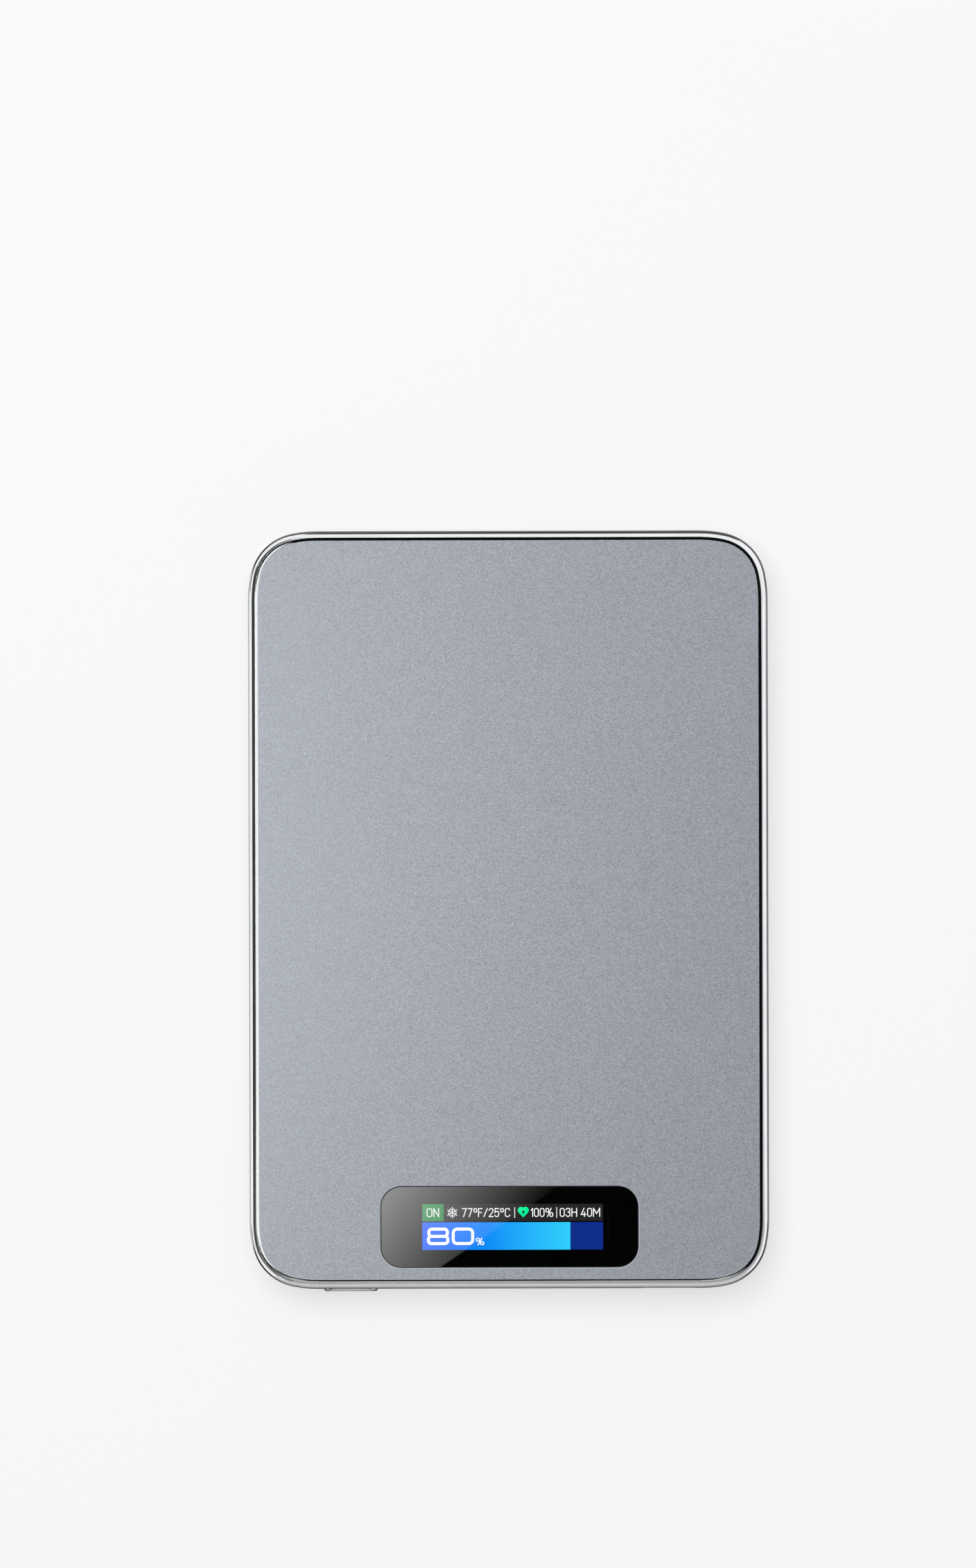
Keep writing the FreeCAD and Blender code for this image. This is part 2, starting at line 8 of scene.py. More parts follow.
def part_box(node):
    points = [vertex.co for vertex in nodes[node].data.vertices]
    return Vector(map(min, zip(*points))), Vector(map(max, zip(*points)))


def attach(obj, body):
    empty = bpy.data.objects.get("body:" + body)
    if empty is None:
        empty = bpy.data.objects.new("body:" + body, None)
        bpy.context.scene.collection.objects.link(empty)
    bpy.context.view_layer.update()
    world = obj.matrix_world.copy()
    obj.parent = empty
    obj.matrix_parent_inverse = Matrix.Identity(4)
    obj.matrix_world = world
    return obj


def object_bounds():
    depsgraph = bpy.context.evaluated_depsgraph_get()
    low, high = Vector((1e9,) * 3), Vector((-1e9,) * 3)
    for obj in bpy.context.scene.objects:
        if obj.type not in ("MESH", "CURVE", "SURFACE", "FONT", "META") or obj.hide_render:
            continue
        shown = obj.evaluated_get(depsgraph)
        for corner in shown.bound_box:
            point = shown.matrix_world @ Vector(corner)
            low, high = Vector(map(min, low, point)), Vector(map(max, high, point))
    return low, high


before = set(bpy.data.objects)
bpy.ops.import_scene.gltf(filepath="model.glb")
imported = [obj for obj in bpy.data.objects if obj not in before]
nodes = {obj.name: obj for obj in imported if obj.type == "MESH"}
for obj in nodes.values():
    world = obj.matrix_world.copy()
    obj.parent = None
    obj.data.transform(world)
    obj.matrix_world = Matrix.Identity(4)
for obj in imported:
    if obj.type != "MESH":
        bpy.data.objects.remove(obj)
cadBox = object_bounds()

mm = 0.001
closeBy = 1e-5  # points of the display's shapes nearer than this, in mm, are one
tiny = 1e-6  # slack of a cutting plane, and of joins on the stage
plateLow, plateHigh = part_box("front_plate")
lensLow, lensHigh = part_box("display_lens")
coilLow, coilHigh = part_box("charging_coil")
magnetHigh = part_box("ring_magnets")[1]
ringCentre = (coilLow + coilHigh) / 2
print("frame loaded:", len(nodes), "nodes")


# Small helpers for shader nodes

def tone(red, green, blue):  # colour as seen on a screen, 0 to 255, turned to linear light
    def linear(value):
        value = value / 255
        return value / 12.92 if value <= 0.04045 else ((value + 0.055) / 1.055) ** 2.4
    return (linear(red), linear(green), linear(blue), 1.0)


def addNode(tree, kind, **settings):
    node = tree.nodes.new("ShaderNode" + kind)
    for name, value in settings.items():
        setattr(node, name, value)
    return node


def feed(tree, socket, value):  # links a socket, or sets a plain value
    if isinstance(value, bpy.types.NodeSocket):
        tree.links.new(value, socket)
    else:
        socket.default_value = value


def calc(tree, operation, *values):
    node = addNode(tree, "Math", operation=operation)
    for socket, value in zip(node.inputs, values):
        feed(tree, socket, value)
    return node.outputs[0]


def ranged(tree, value, fromLow, fromHigh, toLow, toHigh):
    node = addNode(tree, "MapRange")
    for socket, part in zip(node.inputs, (value, fromLow, fromHigh, toLow, toHigh)):
        feed(tree, socket, part)
    return node.outputs[0]


def ramp(tree, value, *stops):  # stops are (place, colour)
    node = addNode(tree, "ValToRGB")
    points = node.color_ramp.elements
    while len(points) < len(stops):
        points.new(1.0)
    for point, (place, colour) in zip(points, stops):
        point.position = place
        point.color = colour
    feed(tree, node.inputs["Fac"], value)
    return node.outputs["Color"]


def blend(tree, share, first, second):  # two colours by a mask
    node = addNode(tree, "Mix", data_type="RGBA")
    for socket, value in zip((node.inputs[0], node.inputs[6], node.inputs[7]), (share, first, second)):
        feed(tree, socket, value)
    return node.outputs[2]


def objectPlace(tree):
    return addNode(tree, "TexCoord").outputs["Object"]


def parts(tree, vector):
    node = addNode(tree, "SeparateXYZ")
    feed(tree, node.inputs[0], vector)
    return node.outputs


def newGroup(name, inputs, outputs):
    group = bpy.data.node_groups.new(name, "ShaderNodeTree")
    for label, value in inputs.items():
        socket = group.interface.new_socket(label, in_out="INPUT", socket_type="NodeSocketFloat")
        socket.default_value = value
    for label in outputs:
        group.interface.new_socket(label, in_out="OUTPUT", socket_type="NodeSocketFloat")
    return group, group.nodes.new("NodeGroupInput").outputs, group.nodes.new("NodeGroupOutput").inputs


def noise(tree, vector, scale, detail, roughness=0.5):
    node = addNode(tree, "TexNoise")
    feed(tree, node.inputs["Vector"], vector)
    feed(tree, node.inputs["Scale"], scale)
    feed(tree, node.inputs["Detail"], detail)
    feed(tree, node.inputs["Roughness"], roughness)
    return node.outputs["Fac"]


# Fine grain of a surface, and slow clouds over it
def makeGrainGroup():
    inputs = {"Grain Scale": 4000.0, "Cloud Scale": 40.0}
    group, given, made = newGroup("surfaceGrain", inputs, ("Grain", "Cloud"))
    place = objectPlace(group)
    feed(group, made["Grain"], noise(group, place, given["Grain Scale"], detail=2.0, roughness=0.6))
    feed(group, made["Cloud"], noise(group, place, given["Cloud Scale"], detail=3.0))
    return group


# Tiny facets that blasting leaves, each a little lighter or darker than the next
def makeFacetGroup():
    group, given, made = newGroup("blastedFacets", {"Facet Scale": 8000.0}, ("Facet",))
    cells = addNode(group, "TexVoronoi")
    feed(group, cells.inputs["Vector"], objectPlace(group))
    feed(group, cells.inputs["Scale"], given["Facet Scale"])
    split = addNode(group, "SeparateColor")
    feed(group, split.inputs[0], cells.outputs["Color"])
    feed(group, made["Facet"], split.outputs["Red"])
    return group


# Faint smears and hairlines that handling leaves on polished faces
marksLook = {
    "smear": (0.42, 0.7),  # noise below the first value is clean, above the second fully marked
    "hairline": (0.66, 0.78),
    "hairlineTurn": 24,
    "hairlineStretch": (14.0, 0.5, 14.0),
}


def makeMarksGroup(look):
    inputs = {"Smear Scale": 70.0, "Hairline Scale": 900.0}
    group, given, made = newGroup("handlingMarks", inputs, ("Smear", "Hairlines"))
    place = objectPlace(group)
    smear = noise(group, place, given["Smear Scale"], detail=4.0, roughness=0.6)
    feed(group, made["Smear"], ranged(group, smear, *look["smear"], 0.0, 1.0))
    turned = addNode(group, "Mapping")
    feed(group, turned.inputs["Vector"], place)
    turned.inputs["Rotation"].default_value = (0.0, 0.0, math.radians(look["hairlineTurn"]))
    turned.inputs["Scale"].default_value = look["hairlineStretch"]
    lines = noise(group, turned.outputs["Vector"], given["Hairline Scale"], detail=1.0)
    feed(group, made["Hairlines"], ranged(group, lines, *look["hairline"], 0.0, 1.0))
    return group


# Grid of the display's cells. The gap between them deepens between two shares of the pitch
cellLook = {"pitch": 0.1 * mm, "gapDepth": 0.1, "gap": (0.3, 0.5)}


def makeCellGroup(look):
    inputs = {"Pitch": look["pitch"], "Gap Depth": look["gapDepth"]}
    group, given, made = newGroup("displayCells", inputs, ("Light",))
    across = parts(group, objectPlace(group))
    rows = []
    for axis in (across["X"], across["Y"]):
        share = calc(group, "FRACT", calc(group, "DIVIDE", axis, given["Pitch"]))
        edge = calc(group, "ABSOLUTE", calc(group, "SUBTRACT", share, 0.5))
        rows.append(ranged(group, edge, *look["gap"], 0.0, 1.0))
    gap = calc(group, "MULTIPLY", calc(group, "MAXIMUM", *rows), given["Gap Depth"])
    feed(group, made["Light"], calc(group, "SUBTRACT", 1.0, gap))
    return group


grainGroup = makeGrainGroup()
facetGroup = makeFacetGroup()
marksGroup = makeMarksGroup(marksLook)
cellGroup = makeCellGroup(cellLook)


def useGroup(tree, group, **values):
    node = tree.nodes.new("ShaderNodeGroup")
    node.node_tree = group
    for name, value in values.items():
        node.inputs[name].default_value = value
    return node.outputs


def newMaterial(name, **plain):  # plain holds the shader's constant values
    material = bpy.data.materials.new(name)
    material.use_nodes = True
    shader = material.node_tree.nodes["Principled BSDF"]
    for label, value in plain.items():
        shader.inputs[label].default_value = value
    return material, material.node_tree, shader.inputs


noiseSpan = (0.3, 0.7)  # most of a noise lies between these


def grainColour(tree, value, dark, light, span=noiseSpan):
    return ramp(tree, value, (span[0], dark), (span[1], light))


def addBump(tree, shader, height, depth):
    bump = addNode(tree, "Bump")
    bump.inputs["Strength"].default_value = 1.0
    bump.inputs["Distance"].default_value = depth
    feed(tree, bump.inputs["Height"], height)
    feed(tree, shader["Normal"], bump.outputs["Normal"])


def dress(node, material):
    data = nodes[node].data
    data.materials.clear()
    data.materials.append(material)


# Front plate: bead-blasted flat, with its cut edges left bright
plateLook = {
    "light": tone(176, 180, 187),
    "dark": tone(138, 142, 149),
    "edge": tone(246, 247, 248),
    "windowEdge": tone(178, 182, 189),
    "roughness": (0.44, 0.56),
    "edgeRoughness": 0.015,
    "windowRoughness": 0.5,
    "facetScale": 9500.0,
    "facetDepth": 0.002 * mm,
    "flatTolerance": 0.01 * mm,
    "windowMargin": 1.0 * mm,
}


def makePlateMaterial(look):
    material, tree, shader = newMaterial("blastedPlate")
    facet = useGroup(tree, facetGroup, **{"Facet Scale": look["facetScale"]})["Facet"]
    across = parts(tree, objectPlace(tree))
    flat = calc(tree, "GREATER_THAN", across["Z"], plateHigh.z - look["flatTolerance"])
    beyond = []
    for axis, low, high in (("X", lensLow.x, lensHigh.x), ("Y", lensLow.y, lensHigh.y)):
        off = calc(tree, "ABSOLUTE", calc(tree, "SUBTRACT", across[axis], (low + high) / 2))
        beyond.append(calc(tree, "GREATER_THAN", off, (high - low) / 2 + look["windowMargin"]))
    outside = calc(tree, "MAXIMUM", *beyond)  # 1 away from the window's cut edge
    blasted = blend(tree, facet, look["dark"], look["light"])
    feed(tree, shader["Metallic"], calc(tree, "MAXIMUM", flat, outside))  # the window's edge has a dull skin
    cut = blend(tree, outside, look["windowEdge"], look["edge"])
    feed(tree, shader["Base Color"], blend(tree, flat, cut, blasted))
    rough = ranged(tree, facet, 0.0, 1.0, *look["roughness"])
    cutRough = ranged(tree, outside, 0.0, 1.0, look["windowRoughness"], look["edgeRoughness"])
    feed(tree, shader["Roughness"], ranged(tree, flat, 0.0, 1.0, cutRough, rough))
    addBump(tree, shader, calc(tree, "MULTIPLY", flat, facet), look["facetDepth"])
    return material


dress("front_plate", makePlateMaterial(plateLook))


# Polished metal: the frame, the key and the socket's shell
polishMarks = {"Smear Scale": 90.0, "Hairline Scale": 1100.0}
polishGrain = {"Grain Scale": 9000.0, "Cloud Scale": 120.0}
polishGrainDepth = 0.0004 * mm
polishedLooks = {
    "frame": {
        "name": "polishedFrame",
        "light": tone(244, 245, 247),
        "dark": tone(232, 234, 237),
        "roughness": (0.12, 0.2),
    },
    "power_button": {
        "name": "polishedKey",
        "light": tone(234, 235, 238),
        "dark": tone(218, 220, 225),
        "roughness": (0.22, 0.3),
    },
    "socket_shell": {
        "name": "socketSteel",
        "light": tone(205, 203, 200),
        "dark": tone(182, 180, 178),
        "roughness": (0.28, 0.4),
    },
}


def makePolishedMaterial(look):
    material, tree, shader = newMaterial(look["name"], Metallic=1.0)
    marks = useGroup(tree, marksGroup, **polishMarks)
    grain = useGroup(tree, grainGroup, **polishGrain)
    feed(tree, shader["Base Color"], grainColour(tree, grain["Cloud"], look["dark"], look["light"]))
    worn = calc(tree, "MAXIMUM", marks["Smear"], marks["Hairlines"])
    feed(tree, shader["Roughness"], ranged(tree, worn, 0.0, 1.0, *look["roughness"]))
    addBump(tree, shader, grain["Grain"], polishGrainDepth)
    return material


for node, look in polishedLooks.items():
    dress(node, makePolishedMaterial(look))


# Display glass: black print under a polished face
glassLook = {
    "print": tone(3, 3, 4),
    "printCloud": tone(5, 5, 6),
    "roughness": (0.0, 0.012),
    "smearScale": 110.0,
    "cloudScale": 150.0,
    "ior": 1.5,
}


def makeGlassMaterial(look):
    material, tree, shader = newMaterial("displayGlass", IOR=look["ior"])
    smear = useGroup(tree, marksGroup, **{"Smear Scale": look["smearScale"]})["Smear"]
    cloud = useGroup(tree, grainGroup, **{"Cloud Scale": look["cloudScale"]})["Cloud"]
    feed(tree, shader["Base Color"], grainColour(tree, cloud, look["print"], look["printCloud"]))
    feed(tree, shader["Roughness"], ranged(tree, smear, 0.0, 1.0, *look["roughness"]))
    return material


dress("display_lens", makeGlassMaterial(glassLook))


def ringPlace(tree):  # a point's offsets from the coil's middle, and its distance from there
    across = parts(tree, objectPlace(tree))
    side = calc(tree, "SUBTRACT", across["X"], ringCentre.x)
    along = calc(tree, "SUBTRACT", across["Y"], ringCentre.y)
    squares = (calc(tree, "POWER", side, 2.0), calc(tree, "POWER", along, 2.0))
    return side, along, calc(tree, "SQRT", calc(tree, "ADD", *squares))


# Back cover: soft-touch plastic with a faint ring that shows where the magnets are
backLook = {
    "light": tone(62, 63, 66),
    "dark": tone(52, 53, 56),
    "ring": tone(80, 81, 85),
    "roughness": (0.58, 0.7),
    "grain": {"Grain Scale": 5200.0, "Cloud Scale": 60.0},
    "grainDepth": 0.01 * mm,
    "ringLine": 0.5 * mm,
}


def makeBackMaterial(look):
    material, tree, shader = newMaterial("softBack")
    grain = useGroup(tree, grainGroup, **look["grain"])
    radius = ringPlace(tree)[2]
    middle = (magnetHigh.x + coilHigh.x) / 2
    off = calc(tree, "ABSOLUTE", calc(tree, "SUBTRACT", radius, middle))
    ring = calc(tree, "LESS_THAN", off, look["ringLine"])
    soft = grainColour(tree, grain["Grain"], look["dark"], look["light"])
    feed(tree, shader["Base Color"], blend(tree, ring, soft, look["ring"]))
    feed(tree, shader["Roughness"], ranged(tree, grain["Cloud"], *noiseSpan, *look["roughness"]))
    addBump(tree, shader, grain["Grain"], look["grainDepth"])
    return material


dress("back_cover", makeBackMaterial(backLook))


# Inside pieces: colour pair, roughness pair, metallic, grain size and grain depth in mm
insideLooks = {
    "blackTape": (tone(18, 18, 19), tone(28, 28, 30), (0.6, 0.75), 0.0, 0.3, 0.01),
    "clearBond": (tone(205, 210, 212), tone(220, 224, 226), (0.1, 0.2), 0.0, 2.0, 0.001),
    "panelGlass": (tone(14, 15, 18), tone(22, 23, 27), (0.08, 0.16), 0.0, 1.0, 0.001),
    "whitePlastic": (tone(214, 214, 210), tone(228, 228, 225), (0.45, 0.6), 0.0, 0.4, 0.006),
    "amberFilm": (tone(176, 104, 34), tone(198, 126, 48), (0.25, 0.4), 0.0, 0.8, 0.003),
    "blackPlastic": (tone(26, 26, 28), tone(38, 38, 40), (0.45, 0.6), 0.0, 0.3, 0.01),
    "ferrite": (tone(44, 43, 44), tone(60, 58, 58), (0.55, 0.7), 0.0, 0.25, 0.012),
    "magnetNickel": (tone(176, 172, 164), tone(198, 194, 186), (0.18, 0.32), 1.0, 0.6, 0.002),
    "sheetSteel": (tone(150, 150, 152), tone(174, 174, 176), (0.28, 0.42), 1.0, 0.4, 0.003),
    "graphite": (tone(36, 37, 40), tone(56, 57, 60), (0.38, 0.52), 0.3, 0.5, 0.006),
    "cellFoil": (tone(168, 170, 174), tone(192, 194, 197), (0.3, 0.45), 0.9, 1.4, 0.02),
    "blackFoam": (tone(24, 24, 25), tone(40, 40, 42), (0.8, 0.95), 0.0, 0.35, 0.05),
    "circuitBoard": (tone(16, 66, 44), tone(24, 88, 58), (0.32, 0.46), 0.0, 1.2, 0.004),
    "nickelStrip": (tone(178, 174, 166), tone(200, 197, 190), (0.24, 0.38), 1.0, 0.5, 0.002),
    "tanCeramic": (tone(150, 118, 84), tone(176, 142, 104), (0.4, 0.55), 0.0, 0.3, 0.004),
    "goldPlate": (tone(212, 170, 92), tone(232, 194, 118), (0.16, 0.28), 1.0, 0.4, 0.001),
}
insideNodes = {
    "blackTape": ("front_plate_tape", "lens_tape", "back_cover_tape"),
    "clearBond": ("display_bond",),
    "panelGlass": ("display_panel",),
    "whitePlastic": ("display_backlight", "switch_plunger"),
    "amberFilm": ("display_ribbon",),
    "blackPlastic": ("display_connector", "inner_frame", "control_chips", "socket_tongue", "switch_body",
                     "temperature_sensor"),
    "ferrite": ("ferrite_sheet", "power_inductors"),
    "magnetNickel": ("ring_magnets", "bar_magnet"),
    "sheetSteel": ("magnet_yoke", "board_screws"),
    "graphite": ("graphite_sheet",),
    "cellFoil": ("battery_cell",),
    "blackFoam": ("cell_foam",),
    "circuitBoard": ("protection_board", "main_board"),
    "nickelStrip": ("battery_tabs",),
    "tanCeramic": ("capacitors",),
    "goldPlate": ("socket_contacts",),
}
cloudShare = 0.1  # of the grain's scale
meanSpan = (0.35, 0.65)  # the mean of two noises spreads less


def makeInsideMaterial(name, dark, light, roughness, metallic, grainSize, grainDepth):
    material, tree, shader = newMaterial(name, Metallic=metallic)
    scale = 1 / (grainSize * mm)
    grain = useGroup(tree, grainGroup, **{"Grain Scale": scale, "Cloud Scale": cloudShare * scale})
    mean = calc(tree, "MULTIPLY", calc(tree, "ADD", grain["Grain"], grain["Cloud"]), 0.5)
    feed(tree, shader["Base Color"], grainColour(tree, mean, dark, light, meanSpan))
    feed(tree, shader["Roughness"], ranged(tree, grain["Grain"], *noiseSpan, *roughness))
    addBump(tree, shader, grain["Grain"], grainDepth * mm)
    return material


for finish, look in insideLooks.items():
    made = makeInsideMaterial(finish, *look)
    for node in insideNodes[finish]:
        dress(node, made)


# Charging coil: enamelled wire, wound in a flat spiral, with painted shade that darkens each turn towards
# the gaps between turns
coilLook = {
    # the gap colour is painted shade between the turns; the wire colour is the turn's own colour, on its
    # crown
    "wire": tone(190, 104, 54),
    "gap": tone(92, 44, 22),
    "gapShadeTo": 0.1,  # shares of a wire's crown
    "wireFrom": 0.45,
    "roughness": (0.22, 0.45),
    "pitch": 0.85 * mm,
    "wireDepth": 0.15 * mm,
}


def makeCoilMaterial(look):
    material, tree, shader = newMaterial("copperWire", Metallic=1.0)
    side, along, radius = ringPlace(tree)
    turn = calc(tree, "DIVIDE", calc(tree, "ARCTAN2", along, side), 2 * math.pi)
    share = calc(tree, "FRACT", calc(tree, "ADD", calc(tree, "DIVIDE", radius, look["pitch"]), turn))
    # painted shade: the colour runs from the gap colour at the sides of a turn to the wire colour on its
    # crown
    crown = calc(tree, "SINE", calc(tree, "MULTIPLY", share, math.pi))
    stops = ((look["gapShadeTo"], look["gap"]), (look["wireFrom"], look["wire"]))
    feed(tree, shader["Base Color"], ramp(tree, crown, *stops))
    feed(tree, shader["Roughness"], ranged(tree, crown, 1.0, 0.0, *look["roughness"]))
    addBump(tree, shader, crown, look["wireDepth"])
    return material


coilMaterial = makeCoilMaterial(coilLook)
for node in ("charging_coil", "coil_leads"):
    dress(node, coilMaterial)
print("finishes made:", len(bpy.data.materials))


# Lit display: thin layers of light on the glass, in mm from the middle of the lens
screenLook = {
    "left": -11.72,
    "right": 12.56,
    "top": 3.07,
    "bottom": -3.08,
    "stripLow": 0.775,
    "barHigh": 0.618,
    "tagRight": -8.85,
    "barEnd": 8.16,
    "panelEdge": 13.23,
    "edgeHalf": 0.02,
    "layer": 0.006,
    "lift": 0.002,
    "off": tone(4, 4, 5),
    "roughness": 0.02,
}
screenColours = {
    "screenStrip": tone(38, 38, 38),
    "screenTag": tone(30, 140, 72),
    "screenRest": tone(12, 46, 139),
    "screenWhite": tone(250, 251, 252),
    "screenHeart": tone(0, 248, 158),
    "screenInk": tone(10, 24, 20),
    "screenEdge": tone(22, 22, 24),
}
barColours = ((0.0, tone(6, 100, 251)), (0.2, tone(8, 121, 251)), (0.45, tone(12, 144, 252)),
              (1.0, tone(50, 210, 255)))
screenMiddle = Vector(((lensLow.x + lensHigh.x) / 2, (lensLow.y + lensHigh.y) / 2, lensHigh.z))


def makeScreenMaterial(name, colour=None):
    material, tree, shader = newMaterial(name, IOR=glassLook["ior"], Roughness=screenLook["roughness"])
    shader["Base Color"].default_value = screenLook["off"]
    shader["Emission Strength"].default_value = 1.0
    light = useGroup(tree, cellGroup)["Light"]
    if colour is None:  # the bar runs from deep to light blue
        low = screenMiddle.x + screenLook["left"] * mm
        high = screenMiddle.x + screenLook["barEnd"] * mm
        share = ranged(tree, parts(tree, objectPlace(tree))["X"], low, high, 0.0, 1.0)
        colour = ramp(tree, share, *barColours)
    feed(tree, shader["Emission Color"], blend(tree, light, tone(0, 0, 0), colour))
    return material


screenMaterials = {name: makeScreenMaterial(name, colour) for name, colour in screenColours.items()}
screenMaterials["screenBar"] = makeScreenMaterial("screenBar")


def placeMesh(bm, name, material):
    mesh = bpy.data.meshes.new(name)
    bm.to_mesh(mesh)
    bm.free()
    mesh.materials.append(material)
    made = bpy.data.objects.new(name, mesh)
    bpy.context.scene.collection.objects.link(made)
    return made


def keepPiece(bm, name, material):
    bmesh.ops.remove_doubles(bm, verts=bm.verts, dist=closeBy * mm)
    bmesh.ops.recalc_face_normals(bm, faces=bm.faces)
    piece = placeMesh(bm, name, material)
    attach(piece, "case")


def addPlate(bm, left, right, low, high, corner=0.0, steps=6):  # flat plate, with round corners if asked
    before = set(bm.faces)
    verts = bmesh.ops.create_grid(bm, x_segments=1, y_segments=1, size=0.5)["verts"]
    bmesh.ops.scale(bm, vec=(right - left, high - low, 1), verts=verts)
    bmesh.ops.translate(bm, vec=((left + right) / 2, (low + high) / 2, 0), verts=verts)
    if corner:
        bmesh.ops.bevel(bm, geom=verts, offset=corner, offset_type="OFFSET", segments=steps, profile=0.5,
                        affect="VERTICES", material=-1)
    return [face for face in bm.faces if face not in before]


def addRing(bm, left, right, low, high, corner, stroke):  # outline of a plate
    face = addPlate(bm, left, right, low, high, corner)[0]
    bmesh.ops.inset_individual(bm, faces=[face], thickness=stroke)
    bmesh.ops.delete(bm, geom=[face], context="FACES_ONLY")


def turnNew(bm, before, degrees, centre):
    verts = [vert for vert in bm.verts if vert not in before]
    bmesh.ops.rotate(bm, cent=centre, matrix=Matrix.Rotation(math.radians(degrees), 3, "Z"), verts=verts)


def layerPiece(bm, name, material, level):  # gives a flat shape its thickness and sets it on the glass
    look = screenLook
    made = bmesh.ops.extrude_face_region(bm, geom=list(bm.faces), use_keep_orig=True)
    top = [part for part in made["geom"] if isinstance(part, bmesh.types.BMVert)]
    bmesh.ops.translate(bm, vec=(0, 0, look["layer"]), verts=top)
    bmesh.ops.translate(bm, vec=(0, 0, look["lift"] + level * look["layer"]), verts=bm.verts)
    bmesh.ops.scale(bm, vec=(mm, mm, mm), verts=bm.verts)
    bmesh.ops.translate(bm, vec=screenMiddle, verts=bm.verts)
    keepPiece(bm, name, screenMaterials[material])


def makeFields(look):
    edgeLeft, edgeRight = look["panelEdge"] - look["edgeHalf"], look["panelEdge"] + look["edgeHalf"]
    fields = (
        ("status_strip", "screenStrip", look["tagRight"], look["right"], look["stripLow"], look["top"]),
        ("status_tag", "screenTag", look["left"], look["tagRight"], look["stripLow"], look["top"]),
        ("level_bar", "screenBar", look["left"], look["barEnd"], look["bottom"], look["barHigh"]),
        ("level_rest", "screenRest", look["barEnd"], look["right"], look["bottom"], look["barHigh"]),
        ("panel_edge", "screenEdge", edgeLeft, edgeRight, look["bottom"], look["top"]),
    )
    for name, material, left, right, low, high in fields:
        bm = bmesh.new()
        addPlate(bm, left, right, low, high)
        layerPiece(bm, name, material, 0)


makeFields(screenLook)


# Words and numbers: plain values with their units, in narrow letters of one stroke width
readouts = {
    "tag_word": {"body": "ON", "left": -11.15, "right": -9.42, "low": 1.33, "high": 2.52},
    "temperature": {"body": "77°F/25°C", "left": -6.4, "right": 0.09, "low": 1.32, "high": 2.52},
    "health_percent": {"body": "100%", "left": 2.83, "right": 5.87, "low": 1.32, "high": 2.52},
    "time_left": {"body": "03H 40M", "left": 6.74, "right": 12.2, "low": 1.32, "high": 2.52},
    "level_sign": {"body": "%", "left": -4.54, "right": -3.42, "low": -2.45, "high": -1.45},
}
letterLook = {"stroke": 0.13, "gap": 0.12, "smooth": 4}


def loop(left, right, low, high):  # a closed stroke ends where it starts
    middle = (low + high) / 2
    return ((left, low), (right, low), (right, middle), (right, high), (left, high), (left, middle),
            (left, low))


# Each letter's width as a share of its height, then its strokes as shares of its box. A stroke of more than
# two points is a bend
letterStrokes = {
    "0": (0.56, (loop(0, 1, 0, 1),)),
    "1": (0.26, (((0, 0.8), (1, 1)), ((1, 1), (1, 0)))),
    "2": (0.54, (((0, 0.74), (0, 1), (1, 1), (1, 0.58), (0, 0)), ((0, 0), (1, 0)))),
    "3": (0.54, (((0, 0.78), (0, 1), (1, 1), (1, 0.54), (0.38, 0.54)),
                 ((0.38, 0.54), (1, 0.54), (1, 0), (0, 0), (0, 0.22)))),
    "4": (0.6, (((0.62, 1), (0, 0.24)), ((0, 0.24), (1, 0.24)), ((0.72, 0.5), (0.72, 0)))),
    "5": (0.54, (((0.06, 1), (0.95, 1)), ((0.06, 1), (0.03, 0.5)),
                 ((0.03, 0.5), (0.2, 0.64), (1, 0.68), (1, 0), (0, 0), (0, 0.22)))),
    "7": (0.54, (((0, 1), (1, 1)), ((1, 1), (0.32, 0)))),
    "C": (0.6, (((1, 0.76), (1, 1), (0, 1), (0, 0.5), (0, 0), (1, 0), (1, 0.24)),)),
    "F": (0.5, (((0, 0), (0, 1)), ((0, 1), (1, 1)), ((0, 0.52), (0.85, 0.52)))),
    "H": (0.64, (((0, 0), (0, 1)), ((1, 0), (1, 1)), ((0, 0.52), (1, 0.52)))),
    "M": (0.8, (((0, 0), (0, 1)), ((1, 0), (1, 1)), ((0, 1), (0.5, 0.35)), ((0.5, 0.35), (1, 1)))),
    "N": (0.64, (((0, 0), (0, 1)), ((1, 0), (1, 1)), ((0, 1), (1, 0)))),
    "O": (0.64, (loop(0, 1, 0, 1),)),
    "°": (0.42, (loop(0, 1, 0.57, 1),)),
    "/": (0.48, (((0, 0), (1, 1)),)),
    "%": (0.9, (loop(0, 0.4, 0.54, 1), loop(0.6, 1, 0, 0.46), ((0.24, 0), (0.76, 1)))),
    " ": (0.2, ()),
}


def addStroke(curve, points, half):
    closed = points[0] == points[-1]
    if closed:
        points = points[:-1]
    elif len(points) == 2:  # square ends reach half a stroke further
        reach = (points[1] - points[0]).normalized() * half
        points = [points[0] - reach, points[1] + reach]
    spline = curve.splines.new("NURBS" if len(points) > 2 else "POLY")
    spline.points.add(len(points) - 1)
    for place, point in zip(spline.points, points):
        place.co = (*point, 1)
        place.tilt = math.pi / 2  # lays the ribbon flat
    spline.use_cyclic_u = closed
    if len(points) > 2:
        spline.use_endpoint_u = not closed
        spline.order_u = 3
        spline.resolution_u = letterLook["smooth"]


